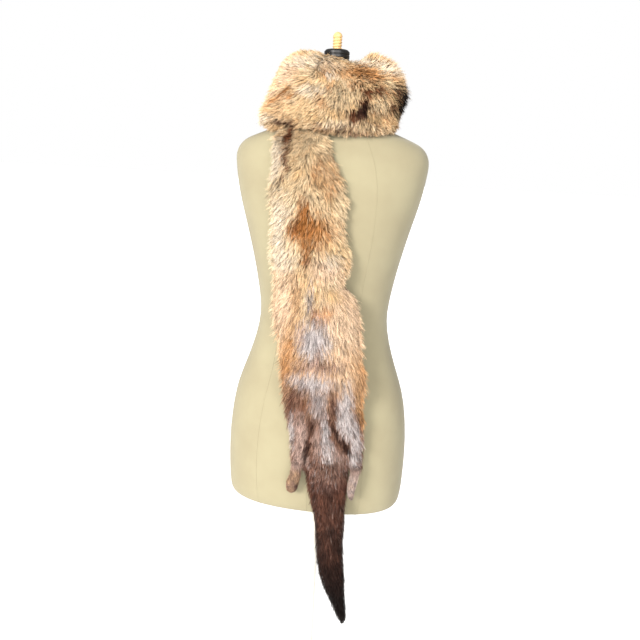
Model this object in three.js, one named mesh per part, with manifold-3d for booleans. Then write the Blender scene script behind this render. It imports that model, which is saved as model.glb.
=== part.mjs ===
// A long fur stole worn on a limbless dress form: it is wound once round the neck, crosses over its own root on the
// left, and hangs down the near side to two hind paws and a tapering tail.
// Lengths are in millimetres and +Z is up. The near side, which carries the hanging stretch, faces -Y.
// The origin is the centre of the stand's underside, and heights in the tables are counted from the form's lower edge.
import * as THREE from 'three';
import { mergeVertices } from 'three/addons/utils/BufferGeometryUtils.js';
import Module from 'manifold-3d';

// Driving dimensions
const formEdgeHeight = 500;
const seamGap = 0.4;
const restGap = 1;
const neckTop = 815;
const standRadius = 145;
const standThickness = 16;
const poleRadius = 12.5;
const flangeRadius = 42;
const flangeThickness = 6;
const neckNutRadius = 22;
const neckNutHeight = 20;
const pegRadius = 8.2;
const pegHeight = 29;
const threadPitch = 4.9;
const threadDepth = 1.3;
const pawTopHeight = 119.4;
const rumpTopHeight = 119.4;
const panelSeamHeight = 444;
const tailSeamHeight = 34;
const rootTopHeight = 712;
const wrapSeamAngles = { left: 174, right: 22 };
const seamAngleGap = 0.45;
const furLumpHeight = 1.5;

// Colours of the fur and the form, as seen
const colours = {
  goldenFur: 0xb98a58,
  tawnyFur: 0xb07f52,
  darkFur: 0x4a3024,
  greyPaw: 0x9a8478,
  jersey: 0xdccf9f,
  blackPlastic: 0x151414,
  beech: 0xe0b877,
  creamSteel: 0xe6e2d6,
};

// Tables

// Reads a table of sections. The result gives every named column at any key, on smooth curves that never overshoot.
function sections(columns, rows) {
  const ordered = [...rows].sort((a, b) => a[0] - b[0]);
  const keys = ordered.map((row) => row[0]);
  const slopesOf = (values) => {
    const secants = keys.slice(1).map((key, i) => (values[i + 1] - values[i]) / (key - keys[i]));
    return values.map((_, i) => {
      if (i === 0 || i === values.length - 1) return secants[Math.min(i, secants.length - 1)];
      const before = secants[i - 1];
      const after = secants[i];
      return before * after <= 0 ? 0 : (2 * before * after) / (before + after);
    });
  };
  const curves = columns.slice(1).map((name, c) => {
    const values = ordered.map((row) => row[c + 1]);
    return { name, values, slopes: slopesOf(values) };
  });
  return (key) => {
    const inside = THREE.MathUtils.clamp(key, keys[0], keys[keys.length - 1]);
    let i = 0;
    while (i < keys.length - 2 && inside > keys[i + 1]) i += 1;
    const span = keys[i + 1] - keys[i];
    const t = (inside - keys[i]) / span;
    const section = { [columns[0]]: key };
    for (const { name, values, slopes } of curves) {
      section[name] =
        values[i] * (1 + 2 * t) * (1 - t) ** 2 +
        slopes[i] * span * t * (1 - t) ** 2 +
        values[i + 1] * t * t * (3 - 2 * t) +
        slopes[i + 1] * span * t * t * (t - 1);
    }
    return section;
  };
}

// The bare form: half its width, how far it reaches to the near and the far side, and how square its section is
const formAt = sections(
  ['height', 'halfWidth', 'near', 'far', 'square'],
  [
    [0, 163, 93, 89, 2.5],
    [3, 168, 97, 93, 2.5],
    [11, 172, 101, 97, 2.5],
    [106, 175, 108, 102, 2.4],
    [208, 165, 98, 98, 2.35],
    [275, 142, 84, 92, 2.3],
    [364, 119, 76, 87, 2.3],
    [430, 127, 84, 94, 2.3],
    [488, 139, 93, 108, 2.35],
    [540, 152, 98, 116, 2.4],
    [580, 163, 98, 112, 2.4],
    [620, 171, 93, 98, 2.4],
    [652, 175, 83, 84, 2.4],
    [668, 170, 76, 76, 2.35],
    [680, 160, 71, 70, 2.3],
    [690, 138, 68, 65, 2.3],
    [700, 112, 65, 61, 2.2],
    [708, 92, 62, 58, 2.15],
    [718, 76, 59, 56, 2.1],
    [732, 63, 56, 54, 2],
    [752, 55, 53, 52, 2],
    [780, 52, 51, 51, 2],
    [neckTop - 4, 51, 50, 50, 2],
    [neckTop, 47, 46, 46, 2],
  ],
);

// The hanging stretch, one row for each level: its two edges, how far its inner face hangs from the form's middle,
// the depth of its fur, and how round the section is, from 0, flat-backed, to 1, round
const hangingColumns = ['height', 'left', 'right', 'hang', 'furDepth', 'round'];
const upperPanelAt = sections(hangingColumns, [
  [712, -80, 2, 50, 15, 0],
  [700, -89, 5, 60, 20, 0],
  [686, -97, 9, 72, 25, 0],
  [655, -88, 20, 88, 30, 0],
  [619, -89, 37, 97, 32, 0],
  [596, -91, 44, 100, 33, 0],
  [572, -87, 45, 101, 33, 0],
  [544, -82, 46, 101, 33, 0],
  [506, -86, 55, 101, 33, 0],
  [479, -80, 58, 101, 32, 0],
  [458, -79, 48, 102, 30, 0],
  [444, -78, 47, 102, 28, 0],
]);
const lowerPanelAt = sections(hangingColumns, [
  [444, -78, 49, 102, 28, 0],
  [430, -80, 69, 102, 30, 0],
  [379, -75, 83, 103, 32, 0],
  [333, -66, 86, 105, 32, 0],
  [286, -59, 98, 107, 31, 0],
  [238, -52, 95, 109, 30, 0],
  [201, -47, 100, 110, 29, 0],
  [167, -38, 103, 110, 27, 0],
  [120, -30, 99, 110, 24, 0],
]);
const rumpAt = sections(hangingColumns, [
  [120, -8, 78, 110, 28, 0],
  [94, -4, 77, 110, 30, 0.15],
  [68, 1, 74, 110, 32, 0.4],
  [34, 11, 72, 109, 35, 1],
]);
const tailAt = sections(hangingColumns, [
  [34, 11, 72, 109, 35, 1],
  [14, 16, 74, 108, 37, 1],
  [-28, 21, 73, 107, 37, 1],
  [-66, 24, 75, 106, 36, 1],
  [-101, 30, 79, 106, 33, 1],
  [-127, 38, 81, 107, 30, 1],
  [-149, 49, 82, 108, 26, 1],
  [-178, 63, 86, 110, 20, 1],
  [-205, 74, 88, 112, 13, 1],
  [-213, 77, 87, 113, 10, 1],
  [-217, 80, 85, 115, 6, 1],
]);
const leftPawAt = sections(hangingColumns, [
  [120, -27.3, -8.8, 112, 19, 0.9],
  [94, -30.2, -10.2, 113, 18, 1],
  [72, -37, -13, 114, 19, 1],
  [60, -35.9, -15.9, 115, 17, 1],
  [54, -32.8, -20.8, 116, 11, 1],
  [52, -29.5, -23.5, 118, 6, 1],
]);
const rightPawAt = sections(hangingColumns, [
  [120, 81, 99, 112, 18, 0.9],
  [96, 79, 95, 113, 16, 1],
  [74, 76, 91, 114, 16, 1],
  [60, 77, 90, 115, 14, 1],
  [53, 80, 88, 116, 9, 1],
  [51, 83, 87, 118, 5, 1],
]);

// The stretch round the neck, one row for each bearing (0 points right and 270 to the near side): its lower and upper
// edge, its outer radius at the bottom, middle and top, and how square its section is
const wrapAt = sections(
  ['bearing', 'bottom', 'top', 'lowRadius', 'midRadius', 'topRadius', 'square'],
  [
    [0, 701, 830, 121, 123, 100, 2.6],
    [8, 703, 831, 121, 122, 101, 2.6],
    [33, 702, 828, 119, 120, 100, 2.5],
    [98, 692, 822, 108, 114, 92, 2.5],
    [163, 700, 828, 124, 116, 94, 2.7],
    [188, 702, 829, 145, 116, 95, 3.3],
    [206, 698, 828, 148, 117, 95, 3.5],
    [230, 695, 826, 122, 116, 94, 3],
    [258, 690, 824, 112, 114, 92, 2.6],
    [283, 687, 819, 112, 114, 92, 2.6],
    [306, 689, 812, 116, 116, 94, 2.6],
    [330, 692, 816, 120, 122, 96, 2.6],
    [353, 699, 828, 122, 123, 99, 2.6],
    [360, 701, 830, 121, 123, 100, 2.6],
  ],
);

// The largest folds of the hanging stretch: a line from one place to another, its reach to each side, and its height
const panelFolds = [
  { fromX: -71, fromZ: 704, toX: -58, toZ: 606, reach: 8, height: -8 },
  { fromX: -85, fromZ: 690, toX: -76, toZ: 612, reach: 9, height: 5 },
  { fromX: -82, fromZ: 604, toX: -46, toZ: 622, reach: 6, height: -6 },
  { fromX: -30, fromZ: 608, toX: 8, toZ: 616, reach: 9, height: -3 },
  { fromX: -28, fromZ: 566, toX: -20, toZ: 520, reach: 14, height: -5 },
  { fromX: -50, fromZ: 500, toX: -12, toZ: 512, reach: 8, height: -4 },
  { fromX: -18, fromZ: 480, toX: -14, toZ: 430, reach: 10, height: -4 },
  { fromX: 52, fromZ: 452, toX: 20, toZ: 448, reach: 8, height: -7 },
  { fromX: -20, fromZ: 392, toX: -14, toZ: 260, reach: 16, height: 3 },
  { fromX: 46, fromZ: 250, toX: 42, toZ: 190, reach: 8, height: -5 },
  { fromX: 42, fromZ: 190, toX: 78, toZ: 108, reach: 9, height: -12 },
  { fromX: 2, fromZ: 196, toX: -10, toZ: 108, reach: 8, height: -10 },
];

// The largest folds round the neck, along a bearing and a height
const wrapFolds = [
  { fromX: 239, fromZ: 703, toX: 230, toZ: 712, reach: 7, height: -12 },
  { fromX: 254, fromZ: 690, toX: 244, toZ: 706, reach: 6, height: -6 },
  { fromX: 292, fromZ: 700, toX: 284, toZ: 812, reach: 9, height: -6 },
  { fromX: 314, fromZ: 730, toX: 326, toZ: 722, reach: 10, height: -6 },
  { fromX: 0, fromZ: 770, toX: 358, toZ: 725, reach: 11, height: -5 },
  { fromX: 213, fromZ: 748, toX: 200, toZ: 742, reach: 9, height: -4 },
  { fromX: 128, fromZ: 708, toX: 120, toZ: 815, reach: 9, height: -6 },
  { fromX: 60, fromZ: 715, toX: 70, toZ: 800, reach: 8, height: -5 },
];

// Surfaces

const toRadians = THREE.MathUtils.degToRad;
const power = (value, exponent) => Math.sign(value) * Math.abs(value) ** exponent;

// The form's radius in one direction from its middle
function formRadius(angle, height) {
  const { halfWidth, near, far, square } = formAt(height);
  const depth = Math.sin(angle) < 0 ? near : far;
  const sum = Math.abs(Math.cos(angle) / halfWidth) ** square + Math.abs(Math.sin(angle) / depth) ** square;
  return sum ** (-1 / square);
}

// How far the form reaches to the near side at one place across its width
function formNear(x, height) {
  const { halfWidth, near, square } = formAt(height);
  return near * Math.max(0, 1 - Math.abs(x / halfWidth) ** square) ** (1 / square);
}

// The height that the folds of one table add at a place
function foldHeight(folds, x, height, unit = 1) {
  return folds.reduce((sum, fold) => {
    const alongX = (fold.toX - fold.fromX) * unit;
    const alongZ = fold.toZ - fold.fromZ;
    const offX = (x - fold.fromX) * unit;
    const offZ = height - fold.fromZ;
    const share = (offX * alongX + offZ * alongZ) / (alongX ** 2 + alongZ ** 2);
    const held = THREE.MathUtils.clamp(share, 0, 1);
    const away = Math.hypot(offX - held * alongX, offZ - held * alongZ);
    return sum + fold.height * Math.exp(-((away / fold.reach) ** 2));
  }, 0);
}

// The soft lumps in which long fur lies
function furLumps(across, height) {
  return furLumpHeight * (Math.sin(across / 8 + height / 17) + Math.sin(across / 13 - height / 11 + 1.7)) * 0.6;
}

// A closed solid through rings of points, all with as many points, with a flat end at each side
function loft(rings) {
  const count = rings[0].length;
  const positions = rings.flat(2);
  const indices = [];
  for (let ring = 0; ring < rings.length - 1; ring += 1) {
    for (let k = 0; k < count; k += 1) {
      const a = ring * count + k;
      const b = ring * count + ((k + 1) % count);
      indices.push(a, b, b + count, a, b + count, a + count);
    }
  }
  for (const [ring, reversed] of [[0, true], [rings.length - 1, false]]) {
    const centre = positions.length / 3;
    for (let axis = 0; axis < 3; axis += 1) {
      positions.push(rings[ring].reduce((sum, point) => sum + point[axis], 0) / count);
    }
    for (let k = 0; k < count; k += 1) {
      const a = ring * count + k;
      const b = ring * count + ((k + 1) % count);
      indices.push(...(reversed ? [b, a, centre] : [a, b, centre]));
    }
  }
  const geometry = new THREE.BufferGeometry();
  geometry.setAttribute('position', new THREE.Float32BufferAttribute(positions, 3));
  geometry.setIndex(signedVolume(positions, indices) < 0 ? indices.reverse() : indices);
  return geometry;
}

// Six times the volume that the faces enclose, negative if they face inwards
function signedVolume(positions, indices) {
  const corner = (i) => new THREE.Vector3().fromArray(positions, indices[i] * 3);
  let sum = 0;
  for (let i = 0; i < indices.length; i += 3) {
    sum += corner(i).dot(corner(i + 1).cross(corner(i + 2)));
  }
  return sum;
}

// Evenly spaced values from first to last
function steps(first, last, count) {
  return Array.from({ length: count + 1 }, (_, i) => first + ((last - first) * i) / count);
}

// The dress form

function formBody() {
  const pointsRound = 40;
  const heights = [
    0, 3, 11, 50, 106, 158, 208, 242, 275, 320, 364, 397, 430, 460, 488, 515, 540, 562, 582, 602, 621, 638, 652,
    661, 669, 676, 683, 690, 697, 704, 711, 719, 728, 740, 755, 780, neckTop - 4, neckTop,
  ];
  return loft(
    heights.map((height) =>
      steps(0, 2 * Math.PI, pointsRound)
        .slice(1)
        .map((angle) => {
          const radius = formRadius(angle, height);
          return [radius * Math.cos(angle), radius * Math.sin(angle), height];
        }),
    ),
  );
}

// A turned piece: its profile is [radius, height] pairs that start and end on the axis
function turned(profile, segments) {
  const geometry = new THREE.LatheGeometry(
    profile.map(([radius, height]) => new THREE.Vector2(radius, height)),
    segments,
  );
  return geometry.rotateX(Math.PI / 2);
}

function standBase() {
  const hubRadius = 26;
  const hubHeight = 30;
  return turned(
    [
      [0, 0],
      [standRadius - 3, 0],
      [standRadius, 3],
      [standRadius, standThickness * 0.45],
      [standRadius - 5, standThickness * 0.7],
      [standRadius * 0.6, standThickness],
      [hubRadius + 6, standThickness + 2],
      [hubRadius, standThickness + 6],
      [poleRadius + 7, hubHeight],
      [0, hubHeight],
    ],
    36,
  );
}

const hubTop = 30;

function standPole() {
  const foot = hubTop + seamGap;
  const head = formEdgeHeight - flangeThickness - 2 * seamGap;
  return turned([[0, foot], [poleRadius, foot], [poleRadius, head], [0, head]], 24);
}

function standFlange() {
  const low = formEdgeHeight - flangeThickness - seamGap;
  const high = formEdgeHeight - seamGap;
  return turned(
    [[0, low], [flangeRadius - 2, low], [flangeRadius, low + 2], [flangeRadius, high], [0, high]],
    28,
  );
}

function neckNut() {
  const low = neckTop + seamGap;
  const high = low + neckNutHeight;
  return turned(
    [[0, low], [neckNutRadius, low], [neckNutRadius, high - 3], [neckNutRadius - 3, high], [0, high]],
    24,
  );
}

// A wooden peg with a coarse thread, drawn as rings, and a domed end
function threadedPeg() {
  const low = neckTop + neckNutHeight + 2 * seamGap;
  const domeHeight = 6;
  const turns = Math.floor((pegHeight - domeHeight) / threadPitch);
  const profile = [[0, low], [pegRadius - threadDepth, low]];
  for (let turn = 0; turn < turns; turn += 1) {
    const valley = low + turn * threadPitch;
    profile.push([pegRadius, valley + threadPitch * 0.35], [pegRadius, valley + threadPitch * 0.65]);
    profile.push([pegRadius - threadDepth, valley + threadPitch]);
  }
  const shoulder = low + turns * threadPitch + 1;
  const dome = steps(0, Math.PI / 2, 4).slice(0, -1);
  dome.forEach((angle) => {
    profile.push([pegRadius * Math.cos(angle), shoulder + (low + pegHeight - shoulder) * Math.sin(angle)]);
  });
  profile.push([0, low + pegHeight]);
  return turned(profile, 18);
}

// The fur stole

// One level of the hanging stretch. The inner face hangs at its own depth, bends back towards its edges, and stays
// clear of the form. The outer face stands off it by the fur's depth. The margin makes it larger, for a cut.
function hangingRing(at, height, acrossCount, margin = 0) {
  const { left, right, hang, furDepth, round } = at(height);
  const middle = (left + right) / 2;
  const half = (right - left) / 2 + margin;
  const edgeSetback = 9;
  const outer = [];
  const inner = [];
  steps(0, Math.PI, acrossCount).forEach((turn, i) => {
    const u = -Math.cos(turn);
    const x = middle + half * u;
    const setback = edgeSetback * (1 - round) * u ** 4;
    const back = Math.max(hang - setback, formNear(x, height) + restGap);
    const dome = Math.max(0, 1 - Math.abs(u) ** 2.6) ** (1 / 2.2);
    const circle = Math.sqrt(Math.max(0, 1 - u * u));
    const relief = (foldHeight(panelFolds, x, height) + furLumps(x, height)) * dome;
    const flatFront = (furDepth + relief) * dome;
    const roundFront = (furDepth / 2) * (1 + circle);
    const roundBack = (furDepth / 2) * (1 - circle);
    const front = THREE.MathUtils.lerp(flatFront, roundFront, round) + margin;
    const rear = THREE.MathUtils.lerp(0, roundBack, round) - margin * 12;
    outer.push([x, -(back + front), height]);
    if (i > 0 && i < acrossCount) inner.unshift([x, -(back + rear), height]);
  });
  return [...outer, ...inner];
}

function hangingPiece(at, heights, acrossCount) {
  return loft(heights.map((height) => hangingRing(at, height, acrossCount)));
}

// The root of the upper panel goes up under the wrap
const upperAcrossCount = 12;
const rootHeights = steps(rootTopHeight, 672, 5);
const upperHeights = [...rootHeights, ...steps(661, panelSeamHeight + seamGap, 20)];

// One upright section of the stretch round the neck. The outer side is rounded, and the inner side lies on the form.
function wrapRing(bearing) {
  const outerPoints = 15;
  const innerPoints = 7;
  const turn = ((bearing % 360) + 360) % 360;
  const { bottom, top, lowRadius, midRadius, topRadius, square } = wrapAt(turn);
  const angle = toRadians(bearing);
  const middle = (bottom + top) / 2;
  const half = (top - bottom) / 2;
  const place = (radius, height) => [radius * Math.cos(angle), radius * Math.sin(angle), height];
  const rest = (height) => formRadius(angle, Math.min(height, neckTop - 4)) + restGap;
  const outer = steps(-Math.PI / 2, Math.PI / 2, outerPoints).map((lean) => {
    const height = middle + half * power(Math.sin(lean), 2 / square);
    const v = (height - bottom) / (2 * half);
    const full = lowRadius * (1 - v) * (1 - 2 * v) + midRadius * 4 * v * (1 - v) + topRadius * v * (2 * v - 1);
    const relief = foldHeight(wrapFolds, turn, height, 2) + furLumps(turn * 2, height);
    const share = Math.max(0, Math.cos(lean)) ** (2 / square);
    return place(THREE.MathUtils.lerp(rest(height), full + relief, share), height);
  });
  const inner = steps(top, bottom, innerPoints)
    .slice(1, -1)
    .map((height) => place(rest(height), height));
  return [...outer, ...inner];
}

function wrapPiece(fromBearing, toBearing, stations) {
  return loft(steps(fromBearing, toBearing, stations).map(wrapRing));
}

// Cuts one closed mesh by another
const wasm = await Module();
wasm.setup();

function asSolid(geometry) {
  const bare = new THREE.BufferGeometry();
  bare.setAttribute('position', geometry.getAttribute('position').clone());
  if (geometry.getIndex()) bare.setIndex(geometry.getIndex().clone());
  const merged = mergeVertices(bare);
  return new wasm.Manifold(
    new wasm.Mesh({
      numProp: 3,
      vertProperties: new Float32Array(merged.getAttribute('position').array),
      triVerts: new Uint32Array(merged.getIndex().array),
    }),
  );
}

function cut(geometry, cutter) {
  const mesh = asSolid(geometry).subtract(asSolid(cutter)).getMesh();
  const result = new THREE.BufferGeometry();
  result.setAttribute('position', new THREE.BufferAttribute(new Float32Array(mesh.vertProperties), 3));
  result.setIndex(new THREE.BufferAttribute(new Uint32Array(mesh.triVerts), 1));
  return result;
}

// The front stretch of the wrap, hollowed where it lies over the root of the hanging stretch
function wrapFront() {
  const from = wrapSeamAngles.left + seamAngleGap;
  const to = 360 + wrapSeamAngles.right - seamAngleGap;
  const room = 0.6;
  const rings = rootHeights.map((height) => hangingRing(upperPanelAt, height, upperAcrossCount, room));
  const roof = rings[0].map(([x, y, height]) => [x, y, height + room]);
  return cut(wrapPiece(from, to, 38), loft([roof, ...rings]));
}

// The scene

function material(colour, roughness, metalness = 0) {
  return new THREE.MeshStandardMaterial({ color: colour, roughness, metalness });
}

function piece(name, geometry, look) {
  const mesh = new THREE.Mesh(geometry, look);
  mesh.name = name;
  return mesh;
}

const goldenFur = material(colours.goldenFur, 0.9);
const tawnyFur = material(colours.tawnyFur, 0.9);
const darkFur = material(colours.darkFur, 0.85);
const greyPaw = material(colours.greyPaw, 0.9);
const creamSteel = material(colours.creamSteel, 0.45);

const stole = new THREE.Group();
stole.position.z = formEdgeHeight;
stole.add(
  piece('neck_wrap_front', wrapFront(), goldenFur),
  piece('neck_wrap_back', wrapPiece(wrapSeamAngles.right, wrapSeamAngles.left, 24), goldenFur),
  piece('panel_upper', hangingPiece(upperPanelAt, upperHeights, upperAcrossCount), goldenFur),
  piece('panel_lower', hangingPiece(lowerPanelAt, steps(panelSeamHeight, 120, 28), 14), tawnyFur),
  piece('rump', hangingPiece(rumpAt, steps(rumpTopHeight, tailSeamHeight + seamGap, 8), 9), darkFur),
  piece('tail', hangingPiece(tailAt, steps(tailSeamHeight, -217, 24), 7), darkFur),
  piece('hind_paw_left', hangingPiece(leftPawAt, steps(pawTopHeight, 52, 10), 6), greyPaw),
  piece('hind_paw_right', hangingPiece(rightPawAt, steps(pawTopHeight, 51, 10), 6), greyPaw),
);

const dressForm = new THREE.Group();
dressForm.position.z = formEdgeHeight;
dressForm.add(
  piece('form_body', formBody(), material(colours.jersey, 0.95)),
  piece('neck_nut', neckNut(), material(colours.blackPlastic, 0.35)),
  piece('neck_peg', threadedPeg(), material(colours.beech, 0.6)),
);

const stand = new THREE.Group();
stand.add(
  piece('stand_base', standBase(), creamSteel),
  piece('stand_pole', standPole(), creamSteel),
  piece('stand_flange', standFlange(), creamSteel),
);

const object = new THREE.Group();
object.add(stole, dressForm, stand);

export default object;
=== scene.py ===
# A long fur stole on a limbless dress form. Lengths in the tables are millimetres, and heights are counted
# from the form's lower edge, as a furrier would measure them. Everything that Blender gets is in metres.
import math

import bpy
import numpy as np
from mathutils import Matrix, Vector, kdtree


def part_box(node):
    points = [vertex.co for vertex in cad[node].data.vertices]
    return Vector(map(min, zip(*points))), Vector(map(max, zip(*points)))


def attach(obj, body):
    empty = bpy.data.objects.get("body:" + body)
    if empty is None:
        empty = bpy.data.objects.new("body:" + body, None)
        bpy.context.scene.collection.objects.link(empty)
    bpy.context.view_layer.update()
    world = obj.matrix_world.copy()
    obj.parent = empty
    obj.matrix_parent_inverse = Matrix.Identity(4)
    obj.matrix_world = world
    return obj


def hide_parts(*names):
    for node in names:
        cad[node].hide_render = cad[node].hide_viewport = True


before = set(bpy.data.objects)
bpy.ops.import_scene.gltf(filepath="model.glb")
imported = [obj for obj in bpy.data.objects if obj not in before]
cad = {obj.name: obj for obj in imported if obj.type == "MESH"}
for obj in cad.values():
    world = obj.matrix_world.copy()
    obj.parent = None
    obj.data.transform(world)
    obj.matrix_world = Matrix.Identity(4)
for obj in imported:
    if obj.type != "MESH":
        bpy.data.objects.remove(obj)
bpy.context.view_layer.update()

MM = 0.001

# Height of the form's lower edge above the floor
form_edge = 500

# Camera and light

camera_turn = math.radians(8)
camera_pitch = math.radians(14)
camera_roll = math.radians(2.9)
camera_distance = 1220
camera_side = -6
camera_height = form_edge + 658

# The focal length is in pixels, for a picture of this width in pixels
focal_length = 660
picture_width = 640
sensor_width = 36

camera_data = bpy.data.cameras.new("Camera")
camera_data.sensor_width = sensor_width
camera_data.lens = sensor_width * focal_length / picture_width
camera = bpy.data.objects.new("Camera", camera_data)
bpy.context.scene.collection.objects.link(camera)
turn = Matrix.Rotation(camera_turn, 4, "Z")
tilt = Matrix.Rotation(math.pi / 2 - camera_pitch, 4, "X")
roll = Matrix.Rotation(camera_roll, 4, "Z")
spot = turn @ Vector((camera_side * MM, -camera_distance * MM, 0))
spot.z = camera_height * MM
camera.matrix_world = Matrix.Translation(spot) @ turn @ tilt @ roll
bpy.context.scene.camera = camera
bpy.context.scene.view_settings.view_transform = "Standard"


def sun(name, strength, spread, azimuth, elevation, colour=(1, 1, 1)):
    """A distant lamp. Its angles are in degrees, and azimuth 0 is the near side and 90 the right."""
    lamp_data = bpy.data.lights.new(name, "SUN")
    lamp_data.energy = strength
    lamp_data.angle = math.radians(spread)
    lamp_data.color = colour
    lamp = bpy.data.objects.new(name, lamp_data)
    around = math.radians(azimuth)
    up = math.radians(elevation)
    from_there = Vector((math.sin(around) * math.cos(up), -math.cos(around) * math.cos(up), math.sin(up)))
    lamp.rotation_euler = from_there.to_track_quat("Z", "Y").to_euler()
    bpy.context.scene.collection.objects.link(lamp)


sun("Key light", 4.4, 20, -29, 23, (1.0, 0.97, 0.93))
sun("Front light", 2.4, 50, 16, 20)

# The studio lights the fur softly from all round, and is seen as plain white
white = (1, 1, 1, 1)
soft_light = 0.36
seen_light = 1.0

world = bpy.data.worlds.new("Studio")
bpy.context.scene.world = world
world.use_nodes = True
sky = world.node_tree
soft = sky.nodes["Background"]
soft.inputs["Color"].default_value = white
soft.inputs["Strength"].default_value = soft_light
seen = sky.nodes.new("ShaderNodeBackground")
seen.inputs["Color"].default_value = white
seen.inputs["Strength"].default_value = seen_light
path = sky.nodes.new("ShaderNodeLightPath")
either = sky.nodes.new("ShaderNodeMixShader")
sky.links.new(path.outputs["Is Camera Ray"], either.inputs[0])
sky.links.new(soft.outputs[0], either.inputs[1])
sky.links.new(seen.outputs[0], either.inputs[2])
sky.links.new(either.outputs[0], sky.nodes["World Output"].inputs["Surface"])


# Materials

def linear(code):
    """A linear colour from an sRGB hex value."""
    channels = [int(code[i:i + 2], 16) / 255 for i in (1, 3, 5)]
    return [c / 12.92 if c <= 0.04045 else ((c + 0.055) / 1.055) ** 2.4 for c in channels]


def add(tree, kind, settings=None, **links):
    """Adds a node. Settings are attributes, input values, or a colour ramp's stops as places with hex colours.
    Links are the outputs that feed its inputs, by the input's name, or by its number after a line, as in _6."""
    node = tree.nodes.new("ShaderNode" + kind)
    for key, value in (settings or {}).items():
        if key == "stops":
            elements = node.color_ramp.elements
            while len(elements) < len(value):
                elements.new(0.5)
            for element, (place, colour) in zip(elements, value):
                element.position = place
                element.color = (*linear(colour), 1)
        elif hasattr(node, key):
            setattr(node, key, value)
        else:
            node.inputs[key].default_value = value
    for key, source in links.items():
        tree.links.new(source, node.inputs[int(key[1:]) if key[1:].isdigit() else key])
    return node


def new_material(name, roughness, metallic=0.0, ior=1.5, colour="#808080"):
    material = bpy.data.materials.new(name)
    material.use_nodes = True
    shader = material.node_tree.nodes["Principled BSDF"]
    shader.inputs["Base Color"].default_value = (*linear(colour), 1)
    shader.inputs["Roughness"].default_value = roughness
    shader.inputs["Metallic"].default_value = metallic
    shader.inputs["IOR"].default_value = ior
    return material, material.node_tree, shader


def paint_with(tree, shader, shade, share):
    """Takes the colour that is painted on each point, darkened by a shade, as the base colour."""
    painted = add(tree, "Attribute", {"attribute_name": "hair_colour"})
    settings = {"data_type": "RGBA", "blend_type": "MULTIPLY", "Factor": share}
    mix = add(tree, "Mix", settings, _6=painted.outputs["Color"], _7=shade.outputs["Color"])
    tree.links.new(mix.outputs[2], shader.inputs["Base Color"])
    return mix.outputs[2]


def jersey():
    """Stretch cotton jersey, knitted at 11 stitches to the centimetre: matt, with a fine grain of stitches."""
    material, tree, shader = new_material("Cream cotton jersey", 0.92, ior=1.45)
    shader.inputs["Sheen Weight"].default_value = 0.15
    place = add(tree, "TexCoord").outputs["Object"]
    knit = add(tree, "TexVoronoi", {"Scale": 1 / (0.9 * MM), "Randomness": 0.35}, Vector=place)
    soft = add(tree, "TexNoise", {"Scale": 1 / (60 * MM), "Detail": 3}, Vector=place)
    tone = add(tree, "ValToRGB", {"stops": [(0.3, "#8f866b"), (0.7, "#968e72")]}, Fac=soft.outputs["Fac"])
    tree.links.new(tone.outputs["Color"], shader.inputs["Base Color"])
    bump = add(tree, "Bump", {"Strength": 0.18, "Distance": 0.4 * MM}, Height=knit.outputs["Distance"])
    tree.links.new(bump.outputs["Normal"], shader.inputs["Normal"])
    return material


def fur_material():
    """Dressed fur: keratin hair, with a soft gloss. The colour is painted on each hair and varies a little."""
    material, tree, shader = new_material("Dressed long fur", 0.42, ior=1.55)
    shader.inputs["Specular IOR Level"].default_value = 0.5
    place = add(tree, "TexCoord").outputs["Object"]
    patchy = add(tree, "TexNoise", {"Scale": 1 / (9 * MM), "Detail": 2}, Vector=place)
    shade = add(tree, "ValToRGB", {"stops": [(0.3, "#dedede"), (0.7, "#ffffff")]}, Fac=patchy.outputs["Fac"])
    hair_colour = paint_with(tree, shader, shade, 0.8)
    gloss = add(tree, "Gamma", {"Gamma": 0.5}, Color=hair_colour)
    tree.links.new(gloss.outputs["Color"], shader.inputs["Specular Tint"])
    return material


def skin_material():
    """The close underfur and the tanned skin below it, seen only as a shade between the tufts."""
    material, tree, shader = new_material("Woolly underfur on tanned skin", 0.95)
    place = add(tree, "TexCoord").outputs["Object"]
    wool = add(tree, "TexNoise", {"Scale": 1 / (2.2 * MM), "Detail": 4}, Vector=place)
    shade = add(tree, "ValToRGB", {"stops": [(0.35, "#8c8c8c"), (0.7, "#ffffff")]}, Fac=wool.outputs["Fac"])
    paint_with(tree, shader, shade, 1.0)
    bump = add(tree, "Bump", {"Strength": 0.8, "Distance": 1.5 * MM}, Height=wool.outputs["Fac"])
    tree.links.new(bump.outputs["Normal"], shader.inputs["Normal"])
    return material


def nut_plastic():
    """Moulded black ABS, satin, with a fine spark-eroded grain."""
    material, tree, shader = new_material("Moulded black plastic", 0.34, ior=1.53, colour="#141313")
    place = add(tree, "TexCoord").outputs["Object"]
    grain = add(tree, "TexNoise", {"Scale": 1 / (0.7 * MM), "Detail": 3}, Vector=place)
    bump = add(tree, "Bump", {"Strength": 0.12, "Distance": 0.2 * MM}, Height=grain.outputs["Fac"])
    tree.links.new(bump.outputs["Normal"], shader.inputs["Normal"])
    return material


def peg_wood():
    """Turned beech, waxed: pale, with fine dark flecks along the grain."""
    material, tree, shader = new_material("Turned beech", 0.5, ior=1.5)
    place = add(tree, "TexCoord").outputs["Object"]
    along = add(tree, "Mapping", {"Scale": (1, 1, 0.12)}, Vector=place)
    grain = add(tree, "TexNoise", {"Scale": 1 / (1.6 * MM), "Detail": 5}, Vector=along.outputs["Vector"])
    flecks = [(0.3, "#c08f52"), (0.55, "#e3bd82"), (0.8, "#efd3a0")]
    tone = add(tree, "ValToRGB", {"stops": flecks}, Fac=grain.outputs["Fac"])
    tree.links.new(tone.outputs["Color"], shader.inputs["Base Color"])
    bump = add(tree, "Bump", {"Strength": 0.2, "Distance": 0.2 * MM}, Height=grain.outputs["Fac"])
    tree.links.new(bump.outputs["Normal"], shader.inputs["Normal"])
    return material


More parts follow.
